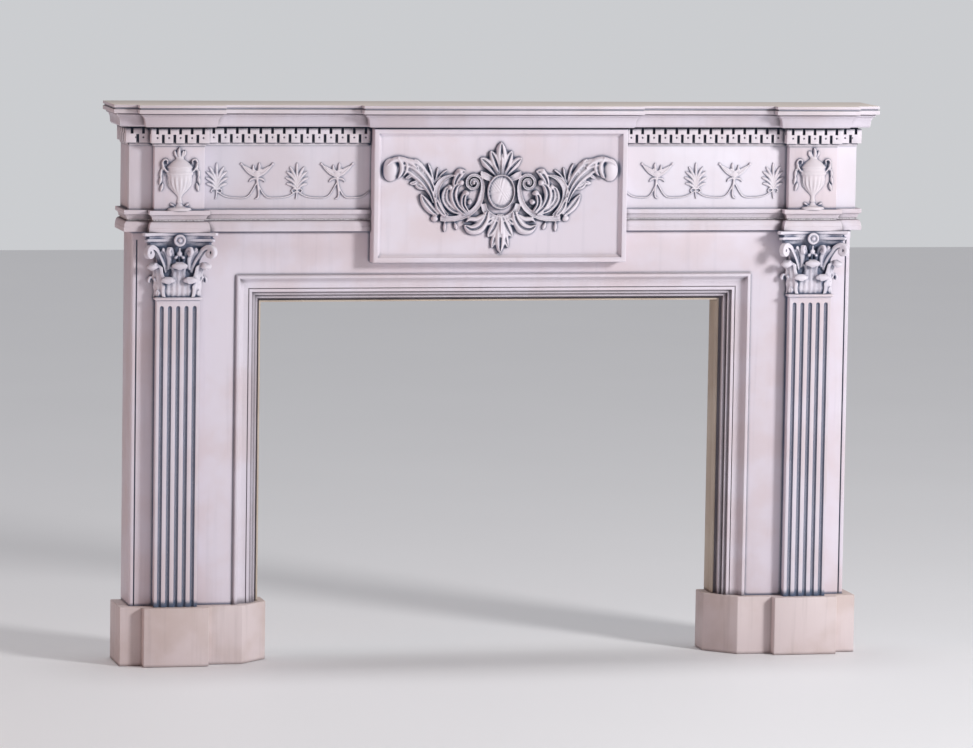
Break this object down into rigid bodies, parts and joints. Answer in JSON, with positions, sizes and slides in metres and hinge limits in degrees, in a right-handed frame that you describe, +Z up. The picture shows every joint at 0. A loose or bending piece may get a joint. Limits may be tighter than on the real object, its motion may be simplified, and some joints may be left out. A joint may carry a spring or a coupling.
{
  "type": "fireplace mantel",
  "caption": "Neo-classical fireplace mantel in antiqued white painted wood: fluted pilasters with leafy capitals, urn blocks, fret dentils and a centre tablet with a carved cartouche.",
  "frame": {"origin": "on the floor, under the middle of the mantel's width and depth", "axes": "+X across the mantel to its right-hand end as seen from the room, +Y back towards the wall, +Z up; the front faces -Y"},
  "size_m": [1.93, 0.2, 1.3773],
  "materials": {
    "body_paint": "antique white paint with a lilac tinge, grey-blue glaze in the recesses",
    "plinth_paint": "the same paint, pinker and a little worn at the edges",
    "shelf_paint": "cream paint, satin",
    "reveal_paint": "tan undercoat, matt",
    "ornament_paint": "antique white over carving, dark grey-blue glaze in the hollows"
  },
  "bodies": {
    "root": {"mantel_shelf": "shelf_paint", "crown_moulding_front": "body_paint", "frieze_board": "body_paint", "centre_tablet": "body_paint", "header_board": "body_paint", "reveal_top": "reveal_paint", "opening_moulding_top": "body_paint", "tablet_cartouche": "ornament_paint", "crown_moulding_left": "body_paint", "crown_moulding_right": "body_paint", "fret_band_left": "body_paint", "fret_band_right": "body_paint", "fret_return_left": "body_paint", "fret_return_right": "body_paint", "frieze_end_left": "body_paint", "frieze_end_right": "body_paint", "urn_block_left": "body_paint", "urn_block_right": "body_paint", "architrave_moulding_left": "body_paint", "architrave_moulding_right": "body_paint", "architrave_return_left": "body_paint", "architrave_return_right": "body_paint", "leg_face_left": "body_paint", "leg_face_right": "body_paint", "leg_side_left": "body_paint", "leg_side_right": "body_paint", "reveal_left": "reveal_paint", "reveal_right": "reveal_paint", "opening_moulding_left": "body_paint", "opening_moulding_right": "body_paint", "pilaster_shaft_left": "body_paint", "pilaster_shaft_right": "body_paint", "plinth_left": "plinth_paint", "plinth_right": "plinth_paint", "capital_left": "ornament_paint", "capital_right": "ornament_paint", "urn_left": "ornament_paint", "urn_right": "ornament_paint", "frieze_ornament_left": "ornament_paint", "frieze_ornament_right": "ornament_paint"}
  },
  "joints": []
}
